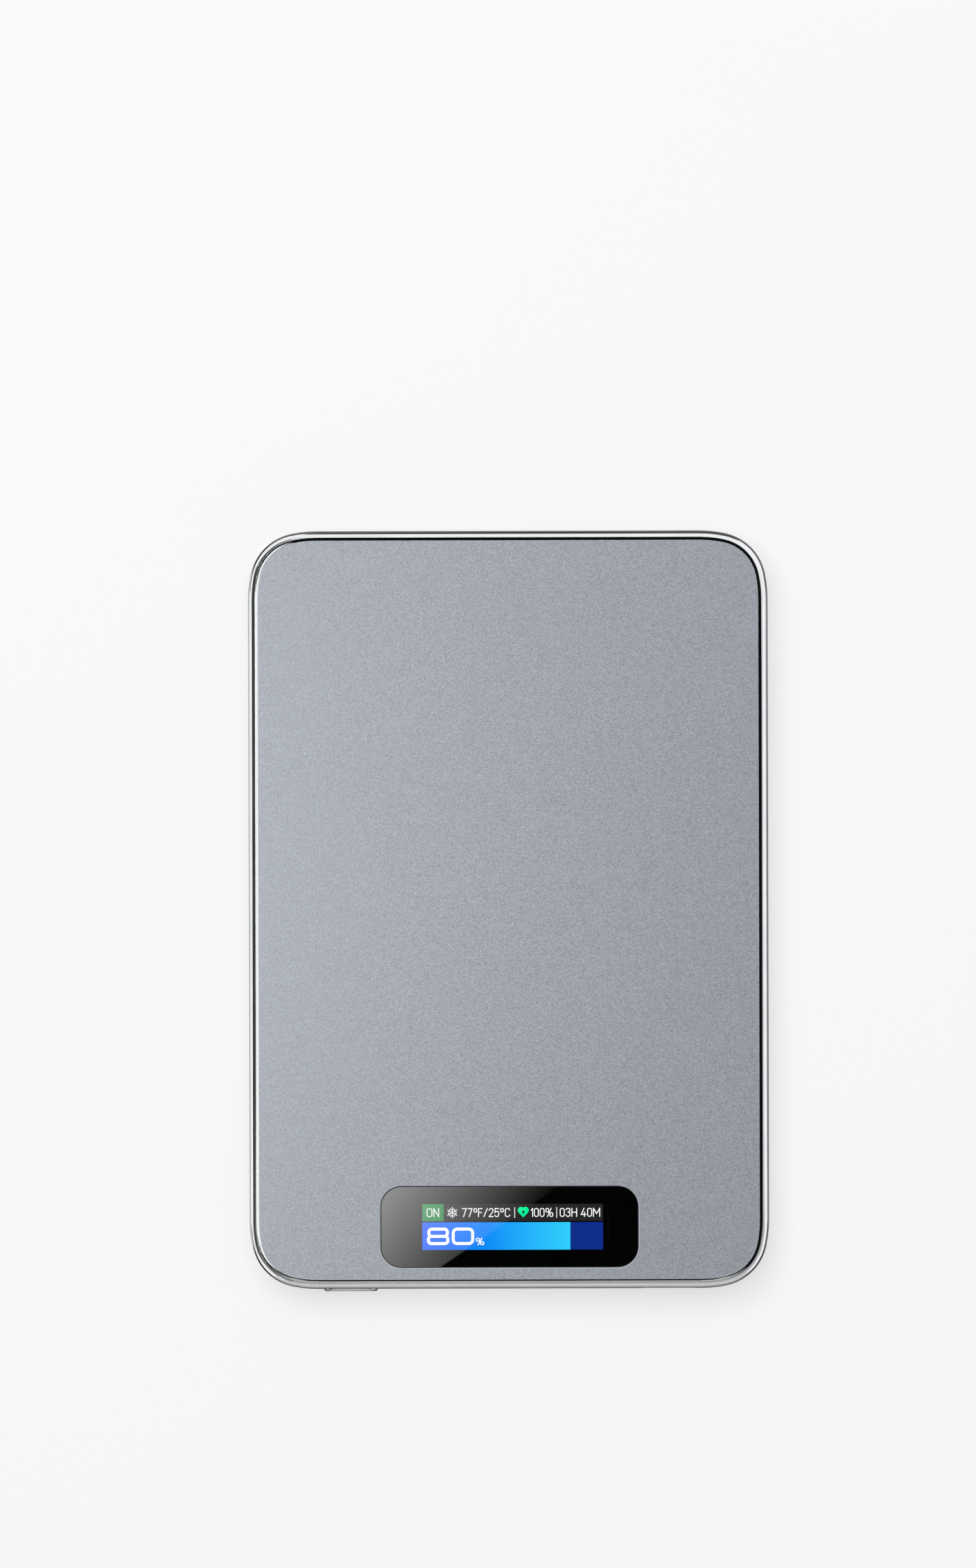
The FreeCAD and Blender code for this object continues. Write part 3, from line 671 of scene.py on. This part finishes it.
def makeReadout(name, body, left, right, low, high):
    curve = bpy.data.curves.new(name + "_strokes", "CURVE")
    curve.dimensions = "3D"
    curve.twist_mode = "Z_UP"
    half = letterLook["stroke"] / 2
    curve.extrude = half
    pen = 0.0
    for letter in body:
        share, strokes = letterStrokes[letter]
        width = share * (high - low)
        inner = (width - 2 * half, high - low - 2 * half)
        for stroke in strokes:
            points = [Vector((pen + half + x * inner[0], low + half + y * inner[1], 0)) for x, y in stroke]
            addStroke(curve, points, half)
        pen += width + letterLook["gap"]
    holder = bpy.data.objects.new(name + "_strokes", curve)
    bpy.context.scene.collection.objects.link(holder)
    flat = bpy.data.meshes.new_from_object(holder.evaluated_get(bpy.context.evaluated_depsgraph_get()))
    bm = bmesh.new()
    bm.from_mesh(flat)
    bpy.data.objects.remove(holder)
    bpy.data.curves.remove(curve)
    bpy.data.meshes.remove(flat)
    bmesh.ops.remove_doubles(bm, verts=bm.verts, dist=closeBy)
    xs = [vert.co.x for vert in bm.verts]
    bmesh.ops.translate(bm, vec=(-min(xs), 0, 0), verts=bm.verts)
    stretch = (right - left) / (max(xs) - min(xs))
    bmesh.ops.scale(bm, vec=(stretch, 1, 1), verts=bm.verts)
    bmesh.ops.translate(bm, vec=(left, 0, 0), verts=bm.verts)
    layerPiece(bm, name, "screenWhite", 1)


for name, look in readouts.items():
    makeReadout(name, **look)


# Large wide numerals of the charge level, drawn with one stroke width
numeralLook = {
    "low": -2.43,
    "high": -0.08,
    "stroke": 0.41,
    "corner": 0.72,
    "eight": (-11.11, -8.09),
    "loopCorner": 0.6,
    "shoulder": 0.06,
    "nought": (-7.775, -4.754),
}


def makeNumerals(look):
    bm = bmesh.new()
    middle = (look["low"] + look["high"]) / 2
    addRing(bm, *look["nought"], look["low"], look["high"], look["corner"], look["stroke"])
    waist = look["stroke"] / 2
    left, right = look["eight"]
    addRing(bm, left, right, look["low"], middle + waist, look["loopCorner"], look["stroke"])
    addRing(bm, left + look["shoulder"], right - look["shoulder"], middle - waist, look["high"],
            look["loopCorner"], look["stroke"])
    layerPiece(bm, "level_numerals", "screenWhite", 1)


makeNumerals(numeralLook)


# Snowflake: six arms with two twigs each
flakeLook = {
    "x": -7.69,
    "y": 1.924,
    "arms": 6,
    "radius": 0.757,
    "stroke": 0.1,
    "twig": 0.32,
    "twigAt": 0.46,  # share of an arm
    "twigStroke": 0.8,  # share of the arm's stroke
    "twigLean": 55,
}


def makeFlake(look):
    bm = bmesh.new()
    centre = (look["x"], look["y"], 0)
    half = look["stroke"] / 2
    twigHalf = half * look["twigStroke"]
    for arm in range(look["arms"]):
        before = set(bm.verts)
        addPlate(bm, look["x"] - half, look["x"] + half, look["y"] + half, look["y"] + look["radius"])
        root = (look["x"], look["y"] + look["twigAt"] * look["radius"], 0)
        for lean in (-look["twigLean"], look["twigLean"]):
            twigBefore = set(bm.verts)
            addPlate(bm, root[0] - twigHalf, root[0] + twigHalf, root[1] + half, root[1] + look["twig"])
            turnNew(bm, twigBefore, lean, root)
        turnNew(bm, before, 360 / look["arms"] * arm, centre)
    layerPiece(bm, "cool_mark", "screenWhite", 1)


makeFlake(flakeLook)


# Heart with a bolt in it, for the cell's health
heartLook = {"x": 1.846, "y": 1.968, "width": 1.48, "height": 1.42, "segments": 32}
boltPoints = ((0.1, 0.42), (-0.26, -0.05), (-0.02, -0.05), (-0.1, -0.42), (0.26, 0.08), (0.02, 0.08))


def makeHeart(look):
    bm = bmesh.new()
    half = 0.5  # a square of side 1 with half a disc on two sides, scaled at the end
    addPlate(bm, -half, half, -half, half)
    for x, y, normal in ((half, 0.0, (-1, 0, 0)), (0.0, half, (0, -1, 0))):
        disc = bmesh.ops.create_circle(bm, cap_ends=True, segments=look["segments"], radius=half)["verts"]
        bmesh.ops.translate(bm, vec=(x, y, 0), verts=disc)
        faces = list({face for vert in disc for face in vert.link_faces})
        edges = list({edge for vert in disc for edge in vert.link_edges})
        bmesh.ops.bisect_plane(bm, geom=disc + edges + faces, plane_co=(x, y, 0), plane_no=normal,
                               clear_outer=True, dist=tiny)
    bmesh.ops.remove_doubles(bm, verts=bm.verts, dist=closeBy)  # joins the halves to the square
    bmesh.ops.rotate(bm, cent=(0, 0, 0), matrix=Matrix.Rotation(math.radians(45), 3, "Z"), verts=bm.verts)
    xs = [vert.co.x for vert in bm.verts]
    ys = [vert.co.y for vert in bm.verts]
    bmesh.ops.translate(bm, vec=(0, -(max(ys) + min(ys)) / 2, 0), verts=bm.verts)
    size = (look["width"] / (max(xs) - min(xs)), look["height"] / (max(ys) - min(ys)), 1)
    bmesh.ops.scale(bm, vec=size, verts=bm.verts)
    bmesh.ops.translate(bm, vec=(look["x"], look["y"], 0), verts=bm.verts)
    layerPiece(bm, "health_heart", "screenHeart", 1)
    bolt = bmesh.new()
    bolt.faces.new([bolt.verts.new((look["x"] + x, look["y"] + y, 0)) for x, y in boltPoints])
    layerPiece(bolt, "health_bolt", "screenInk", 2)


makeHeart(heartLook)


# Thin lines between the readouts
dividerLook = {"at": (0.697, 6.34), "low": 1.2, "high": 2.62, "stroke": 0.1}


def makeDividers(look):
    bm = bmesh.new()
    for x in look["at"]:
        addPlate(bm, x - look["stroke"] / 2, x + look["stroke"] / 2, look["low"], look["high"])
    layerPiece(bm, "readout_dividers", "screenWhite", 1)


makeDividers(dividerLook)


# Stage: floor, cards, lamps and camera
cameraLook = {
    "above": Vector((-2.74 * mm, 16.9 * mm)),
    "distance": 1.0,
    "scale": 11.486,  # pixels to a millimetre of the case, on a picture 2428 pixels high
    "pictureHeight": 2428,
    "roll": -0.15,
    "sensor": 36.0,
    "clip": (0.01, 20.0),
}


def makeCamera(look):
    data = bpy.data.cameras.new("camera")
    data.sensor_width = look["sensor"]
    data.lens = look["sensor"] * look["distance"] / (look["pictureHeight"] / look["scale"] * mm)
    data.clip_start, data.clip_end = look["clip"]
    camera = bpy.data.objects.new("camera", data)
    bpy.context.scene.collection.objects.link(camera)
    camera.location = (*look["above"], (cadBox[0].z + cadBox[1].z) / 2 + look["distance"])
    camera.rotation_euler = (0, 0, math.radians(look["roll"]))
    bpy.context.scene.camera = camera


makeCamera(cameraLook)

floorLook = {
    "colour": tone(240, 240, 240),
    "white": tone(255, 255, 255),
    "roughness": 0.9,
    "radius": 4.0,
    "segments": 96,
    "nearAndFar": (0.12, 0.5),
    "ownLight": (0.6, 0.97),  # share of its own white near the case, where the shadow falls, and far off
}


def stageObject(bm, name, material):
    made = placeMesh(bm, name, material)
    return made


def seenDirectly(tree):  # 1 for rays from the camera, and from mirrors and glass
    path = addNode(tree, "LightPath").outputs
    mirrored = calc(tree, "MAXIMUM", path["Is Glossy Ray"], path["Is Transmission Ray"])
    return calc(tree, "MAXIMUM", path["Is Camera Ray"], mirrored)


def makeFloor(look):
    material, tree, shader = newMaterial("paleFloor", Roughness=look["roughness"])
    shader["Specular IOR Level"].default_value = 0.0
    shader["Base Color"].default_value = look["colour"]
    glow = addNode(tree, "Emission")
    glow.inputs["Color"].default_value = look["white"]
    mixed = addNode(tree, "MixShader")
    distance = addNode(tree, "VectorMath", operation="LENGTH")
    feed(tree, distance.inputs[0], objectPlace(tree))
    own = ranged(tree, distance.outputs["Value"], *look["nearAndFar"], *look["ownLight"])
    feed(tree, mixed.inputs[0], calc(tree, "MULTIPLY", seenDirectly(tree), own))
    feed(tree, mixed.inputs[1], tree.nodes["Principled BSDF"].outputs[0])
    feed(tree, mixed.inputs[2], glow.outputs[0])
    feed(tree, tree.nodes["Material Output"].inputs["Surface"], mixed.outputs[0])
    bm = bmesh.new()
    bmesh.ops.create_circle(bm, cap_ends=True, segments=look["segments"], radius=look["radius"])
    bmesh.ops.translate(bm, vec=(0, 0, cadBox[0].z), verts=bm.verts)
    stageObject(bm, "floor", material)


makeFloor(floorLook)

worldLook = {"ambient": 0.42, "seen": 1.0}


def makeWorld(look):
    world = bpy.data.worlds.new("studio")
    bpy.context.scene.world = world
    world.use_nodes = True
    tree = world.node_tree
    soft = tree.nodes["Background"]
    soft.inputs["Color"].default_value = (1, 1, 1, 1)
    soft.inputs["Strength"].default_value = look["ambient"]
    white = addNode(tree, "Background")
    white.inputs["Color"].default_value = (1, 1, 1, 1)
    white.inputs["Strength"].default_value = look["seen"]
    mixed = addNode(tree, "MixShader")
    feed(tree, mixed.inputs[0], seenDirectly(tree))
    feed(tree, mixed.inputs[1], soft.outputs[0])
    feed(tree, mixed.inputs[2], white.outputs[0])
    feed(tree, tree.nodes["World Output"].inputs["Surface"], mixed.outputs[0])


makeWorld(worldLook)

# Cards that polished metal mirrors, as flags in a studio do: lowest and highest corner in metres, the shade
# at either end, and the axis that the shade runs along
flagLooks = {
    "floorRight": ((0.03, -0.05, 0.0001), (0.36, 0.05, 0.0001), (0.004, 0.004), "X"),
    "floorFar": ((-0.085, 0.05, 0.0001), (0.36, 0.36, 0.0001), (0.004, 0.004), "X"),
    "floorFarFade": ((-0.17, 0.05, 0.0001), (-0.085, 0.36, 0.0001), (0.9, 0.004), "X"),
    "floorNear": ((-0.105, -0.3, 0.0001), (0.36, -0.05, 0.0001), (0.008, 0.004), "X"),
    "floorNearFade": ((-0.145, -0.3, 0.0001), (-0.105, -0.05, 0.0001), (0.85, 0.008), "X"),
    "footLeft": ((-0.05, -0.05, 0.0003), (-0.034, 0.05, 0.0003), (0.75, 0.22), "X"),
    "footRight": ((0.034, -0.06, 0.0003), (0.13, 0.06, 0.0003), (0.15, 0.7), "X"),
    "footFar": ((-0.04, 0.05, 0.0004), (0.06, 0.12, 0.0004), (0.23, 0.15), "Y"),
    "footNear": ((-0.04, -0.115, 0.0004), (0.06, -0.05, 0.0004), (0.41, 0.09), "Y"),
    "rightFlag": ((0.36, -0.3, 0.0), (0.36, 0.36, 0.02), (0.004, 0.004), "Y"),
    "farFlag": ((-0.2, 0.36, 0.0), (0.0, 0.36, 0.03), (0.9, 0.004), "X"),
    "farRightFlag": ((0.0, 0.36, 0.0), (0.36, 0.36, 0.03), (0.004, 0.004), "X"),
    "farWall": ((-0.06, 0.361, 0.03), (0.2, 0.361, 0.18), (0.15, 0.1), "Z"),
    "nearFlag": ((-0.2, -0.3, 0.0), (0.0, -0.3, 0.02), (0.9, 0.1), "X"),
    "nearRightFlag": ((0.0, -0.3, 0.0), (0.36, -0.3, 0.02), (0.1, 0.004), "X"),
    "nearWall": ((-0.3, -0.45, 0.02), (0.36, -0.45, 0.35), (0.5, 0.7), "Z"),
    "nearSky": ((-0.2, -0.45, 0.35), (0.3, -0.06, 0.35), (0.7, 0.4), "Y"),
    "cameraFlag": ((-0.06, -0.06, 0.35), (0.06, 0.055, 0.35), (0.004, 0.004), "X"),
    "rightSky": ((0.06, -0.06, 0.35), (0.2, 0.055, 0.35), (0.2, 0.9), "X"),
    "leftFlag": ((-0.54, -0.22, 0.35), (-0.06, 0.22, 0.35), (0.02, 0.06), "X"),
}
cardPlain = {
    "Base Color": (0, 0, 0, 1),
    "Roughness": 1.0,
    "Specular IOR Level": 0.0,
    "Emission Strength": 1.0,
}


def hideFromAllButMirrors(card):
    card.visible_camera = False
    card.visible_diffuse = False
    card.visible_transmission = False
    card.visible_shadow = False


def makeCardMaterial(name, shades, ends, axis, bothSides=False):
    material, tree, shader = newMaterial("card_" + name, **cardPlain)
    first, last = ((shade, shade, shade, 1) for shade in shades)
    if first == last:
        shader["Emission Color"].default_value = first
    else:
        place = parts(tree, objectPlace(tree))[axis]
        if bothSides:
            place = calc(tree, "ABSOLUTE", place)
        share = ranged(tree, place, *ends, 0.0, 1.0)
        feed(tree, shader["Emission Color"], blend(tree, share, first, last))
    return material


def makeFlag(name, low, high, shades, axis):
    ends = [corner["XYZ".index(axis)] for corner in (low, high)]
    material = makeCardMaterial(name, shades, ends, axis)
    bm = bmesh.new()
    bmesh.ops.create_cube(bm, size=1.0)
    bmesh.ops.translate(bm, vec=(0.5, 0.5, 0.5), verts=bm.verts)
    bmesh.ops.scale(bm, vec=Vector(high) - Vector(low), verts=bm.verts)
    bmesh.ops.translate(bm, vec=low, verts=bm.verts)
    bmesh.ops.remove_doubles(bm, verts=bm.verts, dist=tiny)
    hideFromAllButMirrors(stageObject(bm, name, material))


for name, look in flagLooks.items():
    makeFlag(name, *look)


# Low walls round the near and the far end, whose upper edges the plate's cut edge mirrors as a line. Each
# has a shade in its middle and one at its corners. Its upper edge rises by the slope, towards the far end
skirtLook = {
    "reach": 25 * mm,  # from the plate
    "corner": 33.2 * mm,
    "shadeAt": (36 * mm, 49 * mm),  # where the two shades are, from the middle
}
skirtEnds = {
    "nearSkirt": {"end": -45 * mm, "height": 6.7 * mm, "slope": 0.0217, "shades": (0.45, 0.008)},
    "farSkirt": {"end": 45 * mm, "height": 7.45 * mm, "slope": 0.0, "shades": (0.008, 0.008)},
}


def makeSkirt(name, end, height, slope, shades):
    material = makeCardMaterial(name, shades, skirtLook["shadeAt"], "X", bothSides=True)
    reach = Vector((skirtLook["reach"], skirtLook["reach"], 0))
    low, high = plateLow - reach, plateHigh + reach
    bm = bmesh.new()
    addPlate(bm, low.x, high.x, low.y, high.y, skirtLook["corner"])
    made = bmesh.ops.extrude_face_region(bm, geom=list(bm.faces), use_keep_orig=True)
    for vert in (part for part in made["geom"] if isinstance(part, bmesh.types.BMVert)):
        vert.co.z = height + slope * (vert.co.y - low.y)
    lids = [face for face in bm.faces if len(face.verts) > 4]
    bmesh.ops.delete(bm, geom=lids, context="FACES_ONLY")
    whole = list(bm.verts) + list(bm.edges) + list(bm.faces)
    bmesh.ops.bisect_plane(bm, geom=whole, plane_co=(0, end, 0), plane_no=(0, -end, 0), clear_outer=True,
                           dist=tiny)
    hideFromAllButMirrors(stageObject(bm, name, material))


for name, look in skirtEnds.items():
    makeSkirt(name, **look)


# Card over the display glass: half of it is a soft lamp with a slanting edge, the rest is black. Points are
# where the glass shows them, in mm from the middle of the lens
lensCardLook = {
    "height": 0.3,
    "margin": 4 * mm,
    "edgeFrom": (-9.30, -5.43),
    "edgeTo": (6.66, 5.35),
    "bright": 7.2,  # where the fade starts, at the upper left
    "fadeFrom": (-16.63, 4.7),
    "fadeTo": (-1.96, -6.68),
    "fadePower": 1.6,
    "edgeSoft": 0.1 * mm,
}


def makeLensCard(look):
    rise = look["height"] / cameraLook["distance"]
    above = Vector((*cameraLook["above"], 0))

    def mirrored(x, y):  # where a point of the glass sees itself mirrored, at the card's height
        point = Vector((screenMiddle.x + x * mm, screenMiddle.y + y * mm, 0))
        return point + (point - above) * rise

    start = mirrored(*look["edgeFrom"])
    along = (mirrored(*look["edgeTo"]) - start).normalized()
    fadeStart = mirrored(*look["fadeFrom"])
    fadeWay = mirrored(*look["fadeTo"]) - fadeStart
    material, tree, shader = newMaterial("glareCard", **cardPlain)
    place = parts(tree, objectPlace(tree))

    def reachAlong(origin, way):  # how far a point of the card lies from the origin, along the way
        offX = calc(tree, "MULTIPLY", calc(tree, "SUBTRACT", place["X"], origin.x), way.x)
        offY = calc(tree, "MULTIPLY", calc(tree, "SUBTRACT", place["Y"], origin.y), way.y)
        return calc(tree, "ADD", offX, offY)

    beyond = reachAlong(start, Vector((-along.y, along.x)))
    lit = ranged(tree, beyond, -look["edgeSoft"], look["edgeSoft"], 0.0, 1.0)
    left = ranged(tree, reachAlong(fadeStart, fadeWay), 0.0, fadeWay.length_squared, 1.0, 0.0)
    fade = calc(tree, "POWER", left, look["fadePower"])
    glow = calc(tree, "MULTIPLY", lit, calc(tree, "MULTIPLY", fade, look["bright"]))
    low = mirrored((lensLow.x - screenMiddle.x) / mm, (lensLow.y - screenMiddle.y) / mm)
    high = mirrored((lensHigh.x - screenMiddle.x) / mm, (lensHigh.y - screenMiddle.y) / mm)
    joined = addNode(tree, "CombineColor")
    for socket in joined.inputs:
        feed(tree, socket, glow)
    feed(tree, shader["Emission Color"], joined.outputs[0])
    bm = bmesh.new()
    bmesh.ops.create_grid(bm, x_segments=1, y_segments=1, size=0.5)
    size = high - low
    bmesh.ops.scale(bm, vec=(size.x + 2 * look["margin"], size.y + 2 * look["margin"], 1), verts=bm.verts)
    middle = (low + high) / 2
    bmesh.ops.translate(bm, vec=(middle.x, middle.y, lensHigh.z + look["height"]), verts=bm.verts)
    hideFromAllButMirrors(stageObject(bm, "glareCard", material))


makeLensCard(lensCardLook)

lampLooks = {
    "plateKey": {"at": (-0.12, 0.0, 0.33), "size": 0.16, "power": 0.465, "only": ("front_plate",)},
    "topLamp": {"at": (-0.15, 0.25, 0.9), "size": 0.6, "power": 5.8, "only": ()},
}


def makeLamp(name, at, size, power, only):
    data = bpy.data.lights.new(name, "AREA")
    data.shape = "SQUARE"
    data.size = size
    data.energy = power
    lamp = bpy.data.objects.new(name, data)
    bpy.context.scene.collection.objects.link(lamp)
    lamp.location = at
    lamp.rotation_euler = Vector(at).to_track_quat("Z", "Y").to_euler()
    lamp.visible_camera = False
    lamp.visible_glossy = bool(only)
    if only:  # a lamp for some pieces alone
        lit = bpy.data.collections.new(name + "Pieces")
        for node in only:
            lit.objects.link(nodes[node])
        lamp.light_linking.receiver_collection = lit


for name, look in lampLooks.items():
    makeLamp(name, **look)

bpy.context.scene.view_settings.view_transform = "Standard"
print("stage set")
